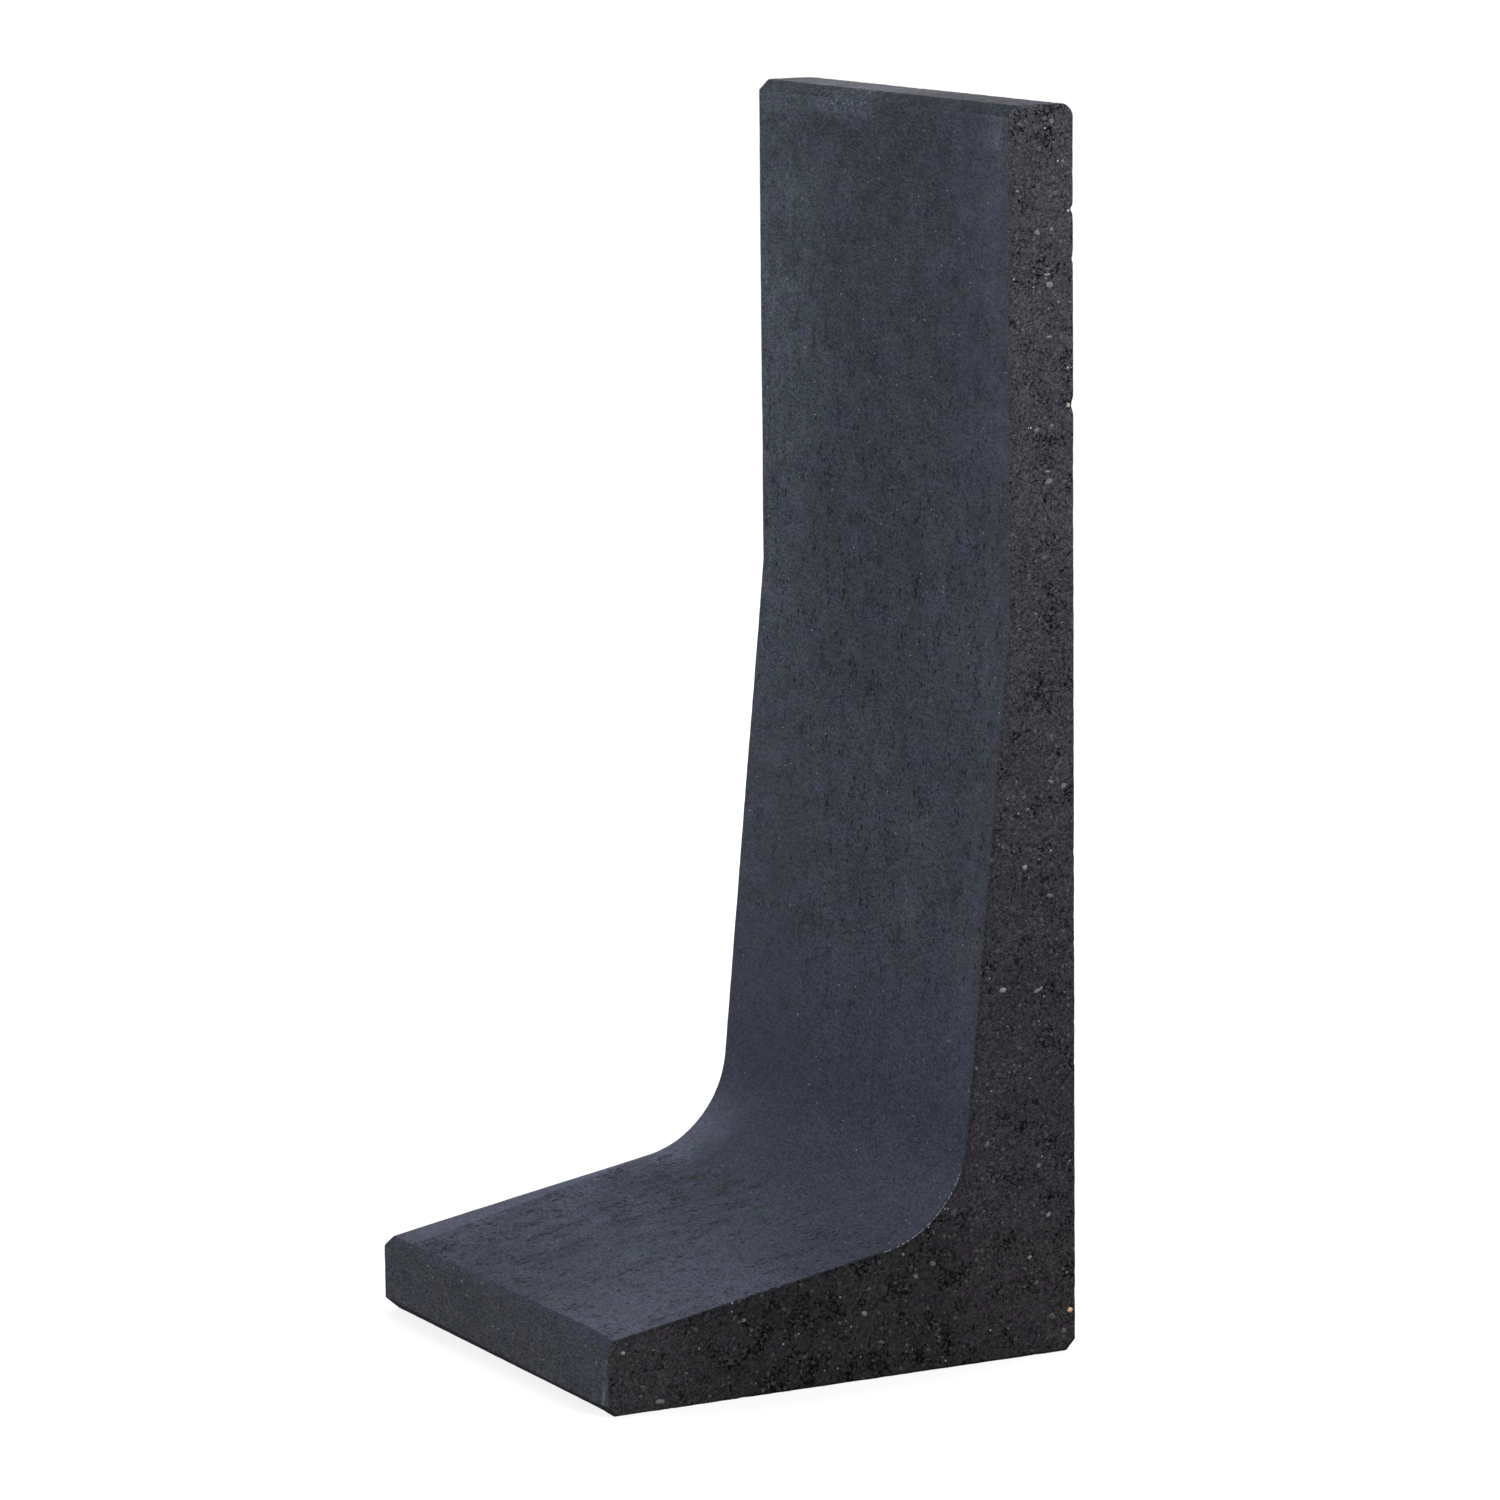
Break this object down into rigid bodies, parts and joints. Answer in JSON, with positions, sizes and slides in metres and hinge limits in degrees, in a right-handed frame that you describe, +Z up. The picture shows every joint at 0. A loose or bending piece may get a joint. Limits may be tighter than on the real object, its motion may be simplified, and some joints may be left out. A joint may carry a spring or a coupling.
{
  "type": "l-shaped retaining wall element",
  "caption": "Cast concrete L-shaped retaining wall element: a tall slab with a flat exposed face, thickening towards a sloping foot, with chamfered edges.",
  "frame": {"origin": "centre of the bounding box's footprint, at the level of the underside", "axes": "+Z up, +Y out of the flat exposed face, -Y along the foot to the toe, X along the wall with the rough side at +X"},
  "size_m": [0.404, 0.422, 1],
  "materials": {
    "cast_concrete": "matt, through-dyed anthracite concrete, fine-grained where it was moulded and coarse at one side"
  },
  "bodies": {
    "root": {"wall_element": "cast_concrete"}
  },
  "joints": []
}
